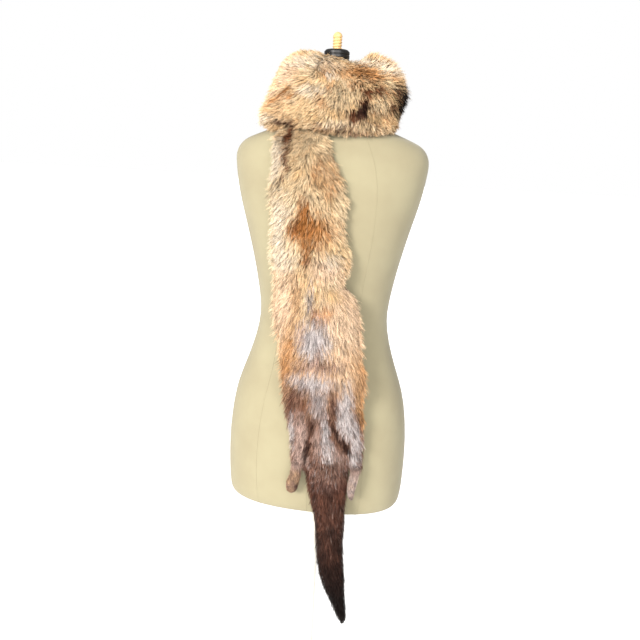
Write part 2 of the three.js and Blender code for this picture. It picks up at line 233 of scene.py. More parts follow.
def stand_enamel():
    """Steel with a baked pale enamel: smooth, with a soft gloss and a slight orange peel."""
    material, tree, shader = new_material("Baked pale enamel on steel", 0.32, ior=1.5)
    place = add(tree, "TexCoord").outputs["Object"]
    peel = add(tree, "TexNoise", {"Scale": 1 / (2.5 * MM), "Detail": 2}, Vector=place)
    tone = add(tree, "ValToRGB", {"stops": [(0.3, "#dedace"), (0.7, "#e4e1d7")]}, Fac=peel.outputs["Fac"])
    tree.links.new(tone.outputs["Color"], shader.inputs["Base Color"])
    bump = add(tree, "Bump", {"Strength": 0.06, "Distance": 0.2 * MM}, Height=peel.outputs["Fac"])
    tree.links.new(bump.outputs["Normal"], shader.inputs["Normal"])
    return material


materials = {
    "jersey": jersey(),
    "fur": fur_material(),
    "skin": skin_material(),
    "plastic": nut_plastic(),
    "wood": peg_wood(),
    "enamel": stand_enamel(),
}


# Modelling

# Distances in metres within which points are merged: in a CAD node's triangles, and in a drawn line
node_merge = 0.00002
line_merge = 0.000002


def only(*objects):
    """Selects these objects and nothing else, and makes the first one active."""
    if bpy.context.object and bpy.context.object.mode != "OBJECT":
        bpy.ops.object.mode_set(mode="OBJECT")
    bpy.ops.object.select_all(action="DESELECT")
    for item in objects:
        item.select_set(True)
    bpy.context.view_layer.objects.active = objects[0]


def edit_all():
    """Opens the active piece in edit mode, with all of it selected."""
    bpy.ops.object.mode_set(mode="EDIT")
    bpy.ops.mesh.select_all(action="SELECT")


def modify(item, kind, **settings):
    """Adds a modifier to a piece and applies it."""
    only(item)
    modifier = item.modifiers.new(kind.title(), kind)
    for key, value in settings.items():
        setattr(modifier, key, value)
    bpy.ops.object.modifier_apply(modifier=modifier.name)


def copy_of_nodes(name, *nodes):
    """One piece made of copies of CAD nodes, with their loose triangles merged."""
    copies = []
    for node in nodes:
        item = bpy.data.objects.new(name, cad[node].data.copy())
        bpy.context.scene.collection.objects.link(item)
        copies.append(item)
    only(*copies)
    if len(copies) > 1:
        bpy.ops.object.join()
    item = bpy.context.object
    item.name = name
    item.data.name = name
    edit_all()
    bpy.ops.mesh.remove_doubles(threshold=node_merge)
    bpy.ops.object.mode_set(mode="OBJECT")
    return item


def finish_piece(item, material, slot, *nodes):
    """Gives a piece its material and body, and hides the CAD nodes that it stands for. The slot is not used."""
    item.data.materials.clear()
    item.data.materials.append(materials[material])
    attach(item, "root")
    if nodes:
        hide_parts(*nodes)


# The dress form

seam_bearings = (0, 43, 90, 137)
neck_ring_drop = 2.5
welt_radius = 0.45


def place_in_mm(node):
    """The lowest and highest corner of a CAD node, in millimetres."""
    low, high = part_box(node)
    return [value / MM for value in low], [value / MM for value in high]


def form_cover():
    """The padded form in its cover, smoothed from the CAD node."""
    item = copy_of_nodes("form_cover", "form_body")
    edit_all()
    bpy.ops.mesh.tris_convert_to_quads(face_threshold=math.radians(60), shape_threshold=math.radians(60))
    bpy.ops.object.mode_set(mode="OBJECT")
    modify(item, "SUBSURF", levels=1, render_levels=1)
    only(item)
    bpy.ops.object.shade_smooth()
    finish_piece(item, "jersey", "form_jersey", "form_body")
    return item


def section_of(cover, centre, normal, top):
    """The line in which an upright or level plane cuts the cover, below a height in millimetres."""
    item = bpy.data.objects.new("seam_line", cover.data.copy())
    bpy.context.scene.collection.objects.link(item)
    only(item)
    edit_all()
    bpy.ops.mesh.bisect(plane_co=centre, plane_no=normal, clear_inner=True, clear_outer=True)
    bpy.ops.mesh.select_all(action="SELECT")
    bpy.ops.mesh.bisect(plane_co=(0, 0, top * MM), plane_no=(0, 0, 1), clear_outer=True)
    bpy.ops.object.mode_set(mode="OBJECT")
    return item


def as_welt(item, radius):
    """Turns lines into a fine round welt."""
    only(item)
    bpy.ops.object.convert(target="CURVE")
    item = bpy.context.object
    item.data.bevel_depth = radius * MM
    item.data.bevel_resolution = 1
    bpy.ops.object.convert(target="MESH")
    only(bpy.context.object)
    bpy.ops.object.shade_smooth()
    return bpy.context.object


def form_seams(cover):
    """Eight upright seams of the cover, and the ring seam that closes it round the neck."""
    neck_top = place_in_mm("form_body")[1][2]
    lines = []
    for bearing in seam_bearings:
        angle = math.radians(bearing)
        across = (-math.sin(angle), math.cos(angle), 0)
        lines.append(section_of(cover, (0, 0, 0), across, neck_top - neck_ring_drop))
    ring_height = (neck_top - neck_ring_drop) * MM
    lines.append(section_of(cover, (0, 0, ring_height), (0, 0, 1), neck_top))
    welts = [as_welt(line, welt_radius) for line in lines]
    only(*welts)
    bpy.ops.object.join()
    welt = bpy.context.object
    welt.name = "form_seams"
    finish_piece(welt, "jersey", "form_jersey")


form_seams(form_cover())


# The neck nut, its peg and the stand

def drawn(name, points):
    """A line through (radius, height) points in millimetres, drawn point by point."""
    bpy.ops.mesh.primitive_plane_add(size=0.001)
    item = bpy.context.object
    item.name = name
    item.data.name = name
    edit_all()
    bpy.ops.mesh.merge(type="CENTER")
    before = (0, 0)
    for index, (radius, height) in enumerate(points):
        step = ((radius - before[0]) * MM, 0, (height - before[1]) * MM)
        if index == 0:
            bpy.ops.transform.translate(value=step)
        else:
            bpy.ops.mesh.extrude_region_move(TRANSFORM_OT_translate={"value": step})
        before = (radius, height)
    bpy.ops.object.mode_set(mode="OBJECT")
    return item


def clean(item, angle=30):
    """Closes a turned piece, faces it outwards, and smooths what is flatter than an angle in degrees."""
    only(item)
    edit_all()
    bpy.ops.mesh.remove_doubles(threshold=line_merge)
    bpy.ops.mesh.fill_holes(sides=8)
    bpy.ops.mesh.select_all(action="SELECT")
    bpy.ops.mesh.normals_make_consistent(inside=False)
    bpy.ops.object.mode_set(mode="OBJECT")
    bpy.ops.object.shade_smooth_by_angle(angle=math.radians(angle))


def turned(name, points, steps=64, edge=0.5):
    """A piece turned about the upright axis, with its sharp edges eased by a width in millimetres."""
    item = drawn(name, points)
    modify(item, "SCREW", steps=steps, render_steps=steps, use_merge_vertices=True, merge_threshold=0.000001)
    clean(item)
    if edge:
        modify(item, "BEVEL", width=edge * MM, segments=2, limit_method="ANGLE", angle_limit=math.radians(25))
    clean(item, 40)
    return item


def neck_nut():
    """A moulded nut with two shallow grip grooves and a dished top."""
    low, high = place_in_mm("neck_nut")
    radius, foot, top = high[0], low[2], high[2]
    item = turned("neck_nut_moulded", [
        (0, foot),
        (radius - 0.6, foot),
        (radius, foot + 0.6),
        (radius, foot + 5),
        (radius - 0.8, foot + 5.5),
        (radius - 0.8, foot + 6.5),
        (radius, foot + 7),
        (radius, foot + 11),
        (radius - 0.8, foot + 11.5),
        (radius - 0.8, foot + 12.5),
        (radius, foot + 13),
        (radius, top - 3),
        (radius - 3, top),
        (radius - 5, top),
        (radius - 6, top - 0.8),
        (10.5, top - 0.8),
        (9.7, top),
        (0, top),
    ], edge=0.25)
    finish_piece(item, "plastic", "nut_plastic", "neck_nut")


def neck_peg():
    """A turned peg: a core with a domed end, and one coarse screw thread cut along it."""
    low, high = place_in_mm("neck_peg")
    crest, foot, top = high[0], low[2], high[2]
    pitch, depth = 4.9, 1.3
    root = crest - depth
    turns = 4
    shoulder = foot + turns * pitch + 1
    rounding = [(crest * math.cos(a), shoulder + (top - shoulder) * math.sin(a))
                for a in [math.radians(step) for step in (0, 15, 30, 45, 60, 75)]]
    stem = [(0, foot), (root, foot), (root, shoulder - 1.6)]
    core = turned("neck_peg_turned", stem + rounding + [(0, top)], 48, 0)
    ridge = drawn("thread", [
        (root - 0.8, foot + 0.1),
        (root, foot + 0.5),
        (crest, foot + pitch * 0.36),
        (crest, foot + pitch * 0.6),
        (root, foot + pitch * 0.94),
        (root - 0.8, foot + pitch * 0.98),
        (root - 0.8, foot + 0.1),
    ])
    only(ridge)
    edit_all()
    bpy.ops.mesh.remove_doubles(threshold=line_merge)
    bpy.ops.object.mode_set(mode="OBJECT")
    modify(ridge, "SCREW", steps=36, render_steps=36, screw_offset=pitch * MM, iterations=turns)
    clean(ridge, 50)
    only(core, ridge)
    bpy.ops.object.join()
    finish_piece(core, "wood", "peg_wood", "neck_peg")


def stand_parts():
    """A spun steel foot with a hub, a pole, and the flange that is screwed under the form."""
    high = place_in_mm("stand_base")[1]
    radius, top = high[0], high[2]
    foot = turned("stand_foot", [
        (0, 0),
        (radius - 2, 0),
        (radius, 2.5),
        (radius, 7),
        (radius - 1.5, 9.5),
        (radius - 5, 11.2),
        (radius * 0.8, 13.8),
        (radius * 0.6, 16),
        (32, 18),
        (27, 19.8),
        (25.6, 22.5),
        (22, 26.5),
        (19.5, top - 0.8),
        (18.7, top),
        (0, top),
    ], 96, 0.4)
    finish_piece(foot, "enamel", "stand_steel", "stand_base")
    low, high = place_in_mm("stand_pole")
    pole = turned("stand_tube", [
        (0, low[2]),
        (high[0] - 0.5, low[2]),
        (high[0], low[2] + 0.5),
        (high[0], high[2] - 0.5),
        (high[0] - 0.5, high[2]),
        (0, high[2]),
    ], 40, 0)
    finish_piece(pole, "enamel", "stand_steel", "stand_pole")
    low, high = place_in_mm("stand_flange")
    flange = turned("stand_flange_plate", [
        (0, low[2]),
        (high[0] - 2, low[2]),
        (high[0], low[2] + 2),
        (high[0], high[2]),
        (0, high[2]),
    ], 64, 0.4)
    finish_piece(flange, "enamel", "stand_steel", "stand_flange")


neck_nut()
neck_peg()
stand_parts()


# The pelts

# The hanging stretch by height: its edges, the depth of its skin below the fur's outline, and its hair's length
hanging_table = np.array([
    # height, left, right, skin depth, hair length
    [720, -80, 2, 9.5, 16],
    [700, -90, 6, 11, 16.5],
    [682, -97, 10, 11.5, 19],
    [655, -88, 20, 11, 20],
    [619, -89, 37, 11, 20],
    [572, -87, 45, 11, 20],
    [506, -86, 55, 11, 20],
    [458, -79, 48, 10, 20],
    [430, -80, 69, 10, 20],
    [379, -75, 83, 10, 22],
    [333, -66, 86, 10, 22],
    [286, -59, 98, 10, 22],
    [238, -52, 95, 9, 20],
    [167, -38, 103, 8, 18],
    [120, -30, 99, 7, 16],
    [94, -4, 77, 8, 17],
    [34, 11, 72, 8, 16],
    [-66, 24, 75, 8, 15],
    [-127, 38, 81, 7, 15],
    [-178, 63, 86, 5, 15],
    [-205, 74, 88, 3, 12],
    [-217, 80, 85, 1, 8],
], dtype=float)[::-1]


left_edge, right_edge, skin_depth, hair_length = 1, 2, 3, 4


def hanging(column, height):
    """A column of the hanging table at each height."""
    return np.interp(height, hanging_table[:, 0], hanging_table[:, column])


# Lie of the hair round the neck by bearing, in degrees from straight down, positive towards a greater bearing.
# A bearing is 0 at the right, 90 at the far side, 180 at the left and 270 at the near side.
wrap_lie_table = np.array([
    [0, 22],
    [30, 10],
    [90, 0],
    [150, -18],
    [188, -52],
    [215, -60],
    [238, -62],
    [256, -48],
    [270, -30],
    [286, -16],
    [300, -4],
    [322, 10],
    [345, 20],
    [360, 22],
], dtype=float)

# Height of the wrap's lower edge by bearing
wrap_foot_table = np.array([
    [0, 703],
    [60, 694],
    [90, 692],
    [120, 690],
    [160, 684],
    [190, 676],
    [225, 676],
    [245, 684],
    [262, 688],
    [300, 689],
    [320, 691],
    [340, 696],
    [360, 703],
], dtype=float)


def coords(item):
    """The piece's points in millimetres from the form's lower edge, and its point normals."""
    count = len(item.data.vertices)
    points = np.empty(count * 3)
    item.data.vertices.foreach_get("co", points)
    normals = np.empty(count * 3)
    item.data.vertex_normals.foreach_get("vector", normals)
    points = points.reshape(-1, 3) / MM
    points[:, 2] -= form_edge
    return points, normals.reshape(-1, 3)


def sink(item, depths):
    """Moves a skin below its hair tips, by a depth in millimetres at each point."""
    group = item.vertex_groups.new(name="depth")
    deepest = float(depths.max())
    for index, depth in enumerate(depths):
        group.add([index], float(depth) / deepest, "REPLACE")
    modify(item, "DISPLACE", strength=-deepest * MM, mid_level=0, vertex_group="depth")
    item.vertex_groups.clear()


def largest_part(item, name):
    """Keeps only the largest connected part of a piece."""
    only(item)
    bpy.ops.mesh.separate(type="LOOSE")
    parts = sorted(bpy.context.selected_objects, key=lambda part: len(part.data.vertices))
    for part in parts[:-1]:
        bpy.data.objects.remove(part)
    parts[-1].name = name
    return parts[-1]


def pelt_surface(name, nodes, voxel, depth_at, smoothing=8):
    """The skin below the fur of some nodes, as one closed surface."""
    item = copy_of_nodes(name, *nodes)
    modify(item, "REMESH", mode="VOXEL", voxel_size=voxel * MM)
    item = largest_part(item, name)
    modify(item, "SMOOTH", factor=0.5, iterations=smoothing)
    points, normals = coords(item)
    sink(item, depth_at(points, normals))
    modify(item, "SMOOTH", factor=0.5, iterations=4)
    return item


def bearing_of(points):
    return np.degrees(np.arctan2(points[:, 1], points[:, 0])) % 360


def radial(points):
    """The level way outwards from the neck's middle."""
    out = points * (1, 1, 0)
    return out / np.linalg.norm(out, axis=1, keepdims=True)


def wrap_depth(points, normals):
    """Depth of the skin round the neck below the fur's outline: least at the neck, most on the underside."""
    facing = (normals * radial(points)).sum(axis=1)
    side = np.interp(facing, [-1, -0.3, 0.2, 1], [1.5, 4, 9, 12])
    under = np.interp(normals[:, 2], [-1, -0.7, 0], [17, 16, 6]) * np.interp(facing, [-0.6, -0.1], [0, 1])
    return np.maximum(side, under)


def hanging_depth(points, normals):
    """The same for the hanging stretch: less at the back, on the tail's right side, and at the legs' ends."""
    facing = -normals[:, 1]
    share = np.interp(facing, [-1, -0.4, 0.1, 1], [0.4, 0.6, 0.85, 1])
    tail_side = np.interp(normals[:, 0], [0.2, 0.8], [0, 1]) * np.interp(points[:, 2], [60, 110], [1, 0])
    share *= 1 - 0.75 * tail_side
    leg = leg_share(points) * np.interp(normals[:, 2], [-0.9, -0.2], [0.95, 0.6])
    return hanging(skin_depth, points[:, 2]) * share * (1 - leg)


def leg_share(points):
    """How far a place belongs to the foot end of a hind leg, from 0 to 1."""
    x, height = points[:, 0], points[:, 2]
    outside = np.maximum(np.interp(x, [-4, 2], [1, 0]), np.interp(x, [74, 80], [0, 1]))
    return outside * np.interp(height, [100, 112, 126, 150], [0, 1, 1, 0])


def paw_depth(points, normals):
    """The same for a paw: most at its top front, where it goes into the leg's fur."""
    deep = np.interp(points[:, 2], [86, 104, 119], [1.5, 4.5, 9.0])
    return deep * np.interp(-normals[:, 1], [0, 0.8], [0.45, 1])


wrap_nodes = ["neck_wrap_front", "neck_wrap_back"]
hanging_nodes = ["panel_upper", "panel_lower", "rump", "tail"]
wrap_skin = pelt_surface("wrap_skin", wrap_nodes, 5.6, wrap_depth)
hanging_skin = pelt_surface("hanging_skin", hanging_nodes, 4.6, hanging_depth)
paw_skin_left = pelt_surface("paw_skin_left", ["hind_paw_left"], 1.9, paw_depth, 4)
paw_skin_right = pelt_surface("paw_skin_right", ["hind_paw_right"], 1.9, paw_depth, 4)


# The colours of the fur

fur_colours = {name: np.array(linear(code)) for name, code in {
    "cream": "#faead2",
    "straw": "#f6dcb3",
    "gold": "#efcb98",
    "peach": "#efcfae",
    "tan": "#d2a577",
    "hazel": "#b57f4c",
    "orange": "#d69a66",
    "rust": "#9f6633",
    "brown": "#6e442b",
    "umber": "#775544",
    "mauve": "#a98e82",
    "chestnut": "#563427",
    "sable": "#432a20",
    "dark": "#2b1913",
    "black": "#120b09",
    "silver": "#beb4b1",
    "grey": "#a0938f",
}.items()}

# Patches on the hanging stretch: where they are, their half width and half height, their lean in degrees from
# upright, positive to the right at the top, their colour, and how strong they are
hanging_patches = [
    # x, height, half width, half height, lean, colour, strength
    [-81, 646, 13, 58, 0, "cream", 0.9],
    [-80, 700, 16, 14, 0, "gold", 0.8],
    [-26, 694, 30, 16, 0, "straw", 0.8],
    [-2, 644, 5, 18, -24, "hazel", 0.6],
    [-64, 686, 7, 16, 12, "brown", 1.0],
    [-62, 662, 5, 14, 20, "brown", 0.9],
    [-61, 640, 6, 11, -30, "brown", 0.8],
    [-70, 612, 3.5, 10, 50, "brown", 1.0],
    [-46, 669, 8, 9, 0, "straw", 1.0],
    [-58, 586, 32, 26, 0, "straw", 0.9],
    [-68, 540, 20, 44, 0, "cream", 0.8],
    [-12, 672, 26, 20, 0, "straw", 0.8],
    [9, 617, 24, 34, -14, "tan", 0.5],
    [-8, 625, 10, 16, 0, "hazel", 0.35],
    [23, 652, 9, 12, 0, "tan", 0.6],
    [24, 604, 12, 18, 0, "hazel", 0.35],
    [-29, 612, 12, 8, -50, "straw", 0.9],
    [11, 569, 8, 30, -30, "straw", 0.8],
    [40, 560, 12, 38, 0, "straw", 0.8],
    [-4, 535, 36, 26, 0, "tan", 0.9],
    [-10, 534, 28, 20, 0, "hazel", 0.9],
    [-24, 572, 8, 16, 0, "rust", 0.8],
    [-22, 552, 13, 14, 0, "rust", 0.9],
    [-34, 536, 16, 12, -12, "rust", 0.9],
    [-12, 534, 16, 10, 0, "rust", 0.55],
    [-40, 540, 7, 5, 0, "brown", 0.6],
    [-16, 512, 14, 9, 0, "hazel", 0.8],
    [0, 504, 7, 4, 0, "brown", 0.5],
    [-17, 490, 9, 18, 0, "rust", 0.8],
    [-14, 484, 6, 12, 0, "brown", 0.6],
    [-60, 480, 22, 24, 0, "cream", 0.9],
    [18, 470, 24, 20, 0, "peach", 1.0],
    [30, 484, 14, 12, 0, "cream", 0.6],
    [-34, 450, 16, 14, 0, "tan", 0.5],
    [-56, 396, 24, 62, 0, "peach", 0.95],
    [54, 392, 32, 66, 0, "peach", 0.9],
    [34, 424, 12, 10, 0, "gold", 0.7],
    [-32, 416, 9, 24, 0, "tan", 0.7],
    [-8, 424, 6, 26, 0, "silver", 0.5],
    [-5, 400, 6, 14, 0, "grey", 0.5],
    [5, 386, 9, 14, -10, "rust", 0.9],
    [4, 376, 8, 6, 0, "brown", 0.7],
    [20, 388, 9, 16, 20, "orange", 0.8],
    [-40, 352, 14, 34, 6, "tan", 0.7],
    [-42, 326, 10, 22, 0, "hazel", 0.7],
    [-48, 290, 9, 20, 0, "hazel", 0.7],
    [62, 330, 30, 50, 0, "peach", 0.7],
    [78, 296, 16, 30, 0, "tan", 0.5],
    [93, 288, 6, 26, 0, "hazel", 0.5],
    [4, 345, 25, 33, 0, "silver", 1.0],
    [-18, 352, 6, 18, 0, "mauve", 0.6],
    [12, 318, 6, 20, 8, "mauve", 0.6],
    [12, 302, 36, 11, 4, "mauve", 0.8],
    [26, 304, 18, 6, 0, "umber", 0.6],
    [-20, 294, 14, 6, 0, "umber", 0.5],
    [5, 270, 36, 15, 0, "silver", 0.95],
    [-12, 262, 6, 14, 0, "grey", 0.8],
    [66, 276, 12, 20, 0, "peach", 0.6],
    [-22, 234, 21, 24, 0, "umber", 0.95],
    [-33, 229, 8, 20, 0, "chestnut", 0.6],
    [-6, 222, 10, 14, 0, "brown", 0.5],
    [17, 232, 13, 26, 0, "grey", 0.95],
    [45, 232, 9, 26, -4, "umber", 0.9],
    [46, 222, 5, 18, -8, "sable", 0.6],
    [66, 236, 11, 30, 0, "silver", 0.9],
    [68, 200, 12, 24, 0, "silver", 0.9],
    [84, 176, 12, 32, -14, "silver", 0.9],
    [92, 250, 7, 34, 0, "tan", 0.8],
    [98, 212, 6, 30, 0, "hazel", 0.8],
    [-14, 168, 12, 34, 0, "mauve", 0.95],
    [-14, 124, 14, 18, 0, "mauve", 0.9],
    [-32, 172, 5, 28, 0, "silver", 0.8],
    [20, 172, 9, 34, 0, "mauve", 0.8],
    [14, 196, 8, 12, 0, "umber", 0.6],
    # Painted shade in the groove between the rump and the left thigh, in this and the next two patches
    [3, 153, 4, 16, 8, "chestnut", 0.8],
    [5, 186, 5, 15, 12, "sable", 0.9],
    [-2, 136, 5, 20, 14, "dark", 0.95],
    [33, 180, 5, 22, -6, "silver", 0.9],
    [38, 146, 10, 22, -14, "silver", 0.8],
    [58, 134, 9, 14, -20, "mauve", 0.7],
    # Painted shade in the groove between the rump and the right thigh, in this and the next two patches
    [47, 184, 4.5, 16, -26, "dark", 1.0],
    [60, 164, 4.5, 15, -38, "dark", 1.0],
    [73, 145, 4.5, 16, -32, "dark", 1.0],
    [87, 130, 9, 18, 0, "silver", 0.8],
    [44, 104, 34, 16, 0, "umber", 0.6],
    [42, 104, 34, 26, 0, "silver", 0.1],
    [42, 30, 34, 60, 0, "mauve", 0.03],
    [36, 30, 7, 44, 0, "chestnut", 0.4],
]

# Patches round the neck: the bearing takes the place of x
wrap_patches = [
    [220, 790, 16, 22, 0, "peach", 0.8],
    [246, 806, 26, 10, 0, "cream", 0.7],
    # Partly the fur's pale colour, partly painted light that lifts the dip lying in the left brow's shadow
    [272, 796, 14, 12, 0, "peach", 0.5],
    [222, 786, 2.6, 5, 50, "brown", 0.6],
    [230, 796, 2.6, 5, 50, "brown", 0.5],
    [229, 758, 3.2, 8, 55, "rust", 0.9],
    [222, 749, 3.2, 8, 55, "rust", 0.8],
    [210, 741, 3.6, 8, 55, "hazel", 0.9],
    [236, 750, 3.2, 9, 60, "hazel", 0.8],
    [206, 758, 6, 8, 40, "peach", 0.9],
    [256, 757, 12, 8, 0, "cream", 0.7],
    [268, 783, 6, 8, -30, "hazel", 0.8],
    [274, 782, 4, 6, -50, "cream", 0.9],
    [274, 763, 4, 6, 20, "hazel", 0.6],
    [266, 738, 9, 4, 60, "tan", 0.7],
    [286, 753, 10, 12, 0, "straw", 0.9],
    [250, 722, 14, 12, 0, "gold", 0.6],
    [200, 712, 14, 8, 0, "cream", 0.7],
    # Painted shadow in the fold where the wrap's lower edge laps over the hanging stretch, in this and the next
    # patch
    [226, 706, 8, 5, 0, "sable", 0.95],
    [234, 702, 5, 4, 0, "brown", 0.6],
    [262, 699, 10, 7, 0, "tan", 0.6],
    [288, 787, 9, 7, 0, "tan", 0.9],
    [302, 791, 13, 10, 0, "hazel", 0.85],
    [318, 794, 13, 12, 0, "hazel", 0.85],
    [296, 770, 6, 6, 20, "hazel", 0.6],
    [308, 758, 5, 7, 0, "brown", 1.0],
    [319, 764, 6, 7, 0, "brown", 0.9],
    [305, 742, 4, 9, 0, "brown", 1.0],
    [297, 721, 7, 9, 20, "brown", 1.0],
    [302, 727, 6, 10, 10, "sable", 1.0],
    [306, 735, 6, 9, 0, "dark", 0.9],
    [318, 711, 7, 4, 0, "brown", 0.7],
    [322, 742, 8, 12, 0, "straw", 0.8],
    [333, 774, 6, 9, 0, "straw", 0.7],
    [341, 763, 5, 14, 0, "brown", 0.8],
    [336, 740, 5, 11, 0, "brown", 0.7],
    # Painted shade on the wrap's right edge, which turns away from the light, in this and the next patch
    [5, 752, 15, 28, 0, "sable", 0.8],
    [353, 750, 12, 26, 0, "black", 1.0],
    [319, 816, 22, 7, 0, "cream", 0.8],
    [345, 804, 12, 10, 0, "cream", 0.8],
    [284, 706, 20, 5, 0, "cream", 0.35],
    # Painted shade between the tufts along the wrap's lower edge
    [306, 698, 38, 8, 0, "umber", 0.6],
    [325, 703, 22, 6, 0, "straw", 0.6],
    [32, 760, 12, 30, 0, "brown", 0.6],
    [62, 772, 20, 22, 0, "tan", 0.7],
    [84, 730, 12, 16, 20, "brown", 0.7],
    [104, 752, 12, 18, 10, "hazel", 0.8],
    [118, 790, 26, 10, 0, "cream", 0.8],
    [140, 760, 14, 22, 0, "straw", 0.7],
    [160, 738, 13, 12, -20, "brown", 0.5],
    [176, 770, 12, 20, 0, "tan", 0.6],
]


# A patch is full up to its middle and fades over its edge. With dice, it is partly blended and partly mixed.
patch_reach, patch_fade = 1.5, 0.9
blended, mixed_by_hair = 0.45, 0.55


def painted(places, base, patches, dice=None):
    """Colour at places (across, height), from a base colour and soft patches laid over it in turn. With dice, a
    number from 0 to 1 for each hair, a patch is partly a mixture of hairs of two colours, as on a real pelt."""
    colour = base.copy()
    for x, height, half_width, half_height, lean, name, strength in patches:
        across = (places[:, 0] - x + 180) % 360 - 180
        up = places[:, 1] - height
        slope = math.radians(lean)
        along = across * math.sin(slope) + up * math.cos(slope)
        aside = across * math.cos(slope) - up * math.sin(slope)
        away = np.sqrt((aside / half_width) ** 2 + (along / half_height) ** 2)
        share = strength * np.clip(patch_reach - patch_fade * away, 0, 1)
        if dice is not None:
            share = blended * share + mixed_by_hair * (dice < share)
        colour += (fur_colours[name] - colour) * share[:, None]
    return colour


# A wobble is a sum of waves with lengths around its size, brought back to about 1
waves = 5
any_phase = 6.28
wave_sum = 2.6


def wobble(points, size, seed):
    """Smooth random value between about -1 and 1 that changes over a size in millimetres."""
    rng = np.random.default_rng(seed)
    total = np.zeros(len(points))
    for _ in range(waves):
        way = rng.normal(size=3)
        way /= np.linalg.norm(way)
        turns = points @ way * (2 * math.pi / size) * rng.uniform(0.6, 1.5)
        total += np.sin(turns + rng.uniform(0, any_phase))
    return total / wave_sum


def mixed(first, second, share):
    """A mixture of two named fur colours, by the share of the second."""
    return fur_colours[first] + (fur_colours[second] - fur_colours[first]) * share[:, None]


def hanging_colour(points, dice=None):
    x, height = points[:, 0], points[:, 2]
    noise = wobble(points, 26, 3)
    upper = mixed("gold", "straw", np.clip(0.6 + 0.5 * noise, 0, 1))
    lower = mixed("tan", "umber", np.clip((310 - height) / 105 + 0.15 * noise, 0, 1))
    tail = mixed("chestnut", "dark", np.clip((100 - height) / 150 + 0.3 * noise, 0, 1))
    tail += (fur_colours["black"] - tail) * np.clip((-60 - height) / 90, 0, 1)[:, None]
    base = upper + (lower - upper) * np.clip((450 - height) / 140, 0, 1)[:, None]
    base += (tail - base) * np.clip((150 - height) / 50, 0, 1)[:, None]
    rough = np.stack([x + 2.5 * wobble(points, 14, 5), height + 3.5 * wobble(points, 17, 6)], axis=1)
    return painted(rough, base, hanging_patches, dice)


def wrap_colour(points, dice=None):
    bearing = bearing_of(points)
    noise = wobble(points, 24, 8)
    base = mixed("gold", "straw", np.clip(0.65 + 0.5 * noise, 0, 1))
    left = np.interp(bearing, [180, 200, 225, 250], [0.5, 0.5, 0.45, 0.1])
    base += (fur_colours["tan"] - base) * left[:, None]
    right = np.clip((bearing - 285) / 30, 0, 1) * (bearing > 180)
    base += (mixed("gold", "tan", np.clip(0.3 + 0.5 * noise, 0, 1)) - base) * right[:, None]
    rough = np.stack([bearing + 1.6 * wobble(points, 12, 9), points[:, 2] + 3 * wobble(points, 15, 10)], axis=1)
    return painted(rough, base, wrap_patches, dice)


# The left paw lies left of this place and the right paw right of it
between_paws = 35


def paw_colour(points, dice=None):
    x, height = points[:, 0], points[:, 2]
    on_left = x < between_paws
    noise = wobble(points, 16, 12)
    left = mixed("tan", "umber", np.clip(0.62 + 0.25 * noise, 0, 1))
    right = mixed("tan", "mauve", np.clip(0.85 + 0.2 * noise, 0, 1))
    base = np.where(on_left[:, None], left, right)
    base += (fur_colours["silver"] - base) * np.where(on_left, 0.12, 0.35)[:, None]
    base += (fur_colours["mauve"] - base) * np.interp(height, [94, 106], [0, 1])[:, None]
    # Painted shade at the lower right of the left paw and along both paws' lower ends
    shade = np.clip((84 - height) / 16, 0, 1) * np.clip((x + 24) / 10, 0, 1) * on_left * 0.8
    shade = np.maximum(shade, np.clip((64 - height) / 8, 0, 1) * 0.5)
    return base + (fur_colours["sable"] - base) * shade[:, None]


# The hair

# Lie of the hair on the wrap's upper edge by bearing. It turns about where the hair parts.
brow_lie_table = np.array([
    [200, -128],
    [230, -122],
    [255, -128],
    [257, 46],
    [296, 60],
    [318, 120],
    [340, 140],
], dtype=float)


def wrap_lie(points, normals):
    bearing = bearing_of(points)
    lie = np.interp(bearing, wrap_lie_table[:, 0], wrap_lie_table[:, 1])
    high = np.interp(points[:, 2], [772, 802], [0, 1])
    brow = np.interp(bearing, brow_lie_table[:, 0], brow_lie_table[:, 1])
    lie += (brow - lie) * high * np.interp(bearing, [192, 206, 345, 359], [0, 1, 1, 0])
    lie = np.radians(lie + 12 * wobble(points, 34, 21) + 8 * wobble(points, 13, 22))
    out = radial(points)
    along = np.stack([-out[:, 1], out[:, 0], np.zeros(len(out))], axis=1)
    down = np.array([0, 0, -1.0])
    return down * np.cos(lie)[:, None] + along * np.sin(lie)[:, None] + 0.5 * out


def join_share(points):
    """How far a place belongs to the wrap's lower edge where the hanging stretch comes out, from 0 to 1."""
    bearing = bearing_of(points)
    return np.interp(bearing, [236, 246, 268, 280], [0, 1, 1, 0]) * np.interp(points[:, 2], [694, 722], [1, 0])


def flat_places(points):
    """Where the hair round the neck lies flatter, from 0 to 1: the low middle of the brow, and the join."""
    bearing = bearing_of(points)
    dip = np.interp(bearing, [250, 259, 288, 304], [0, 1, 1, 0]) * np.interp(points[:, 2], [764, 780], [0, 1])
    return np.minimum(0.7 * dip + 0.3 * join_share(points), 1)


# Places across of the two legs' feet, towards which the hair on the legs' ends leans
foot_places = (-18, 90)


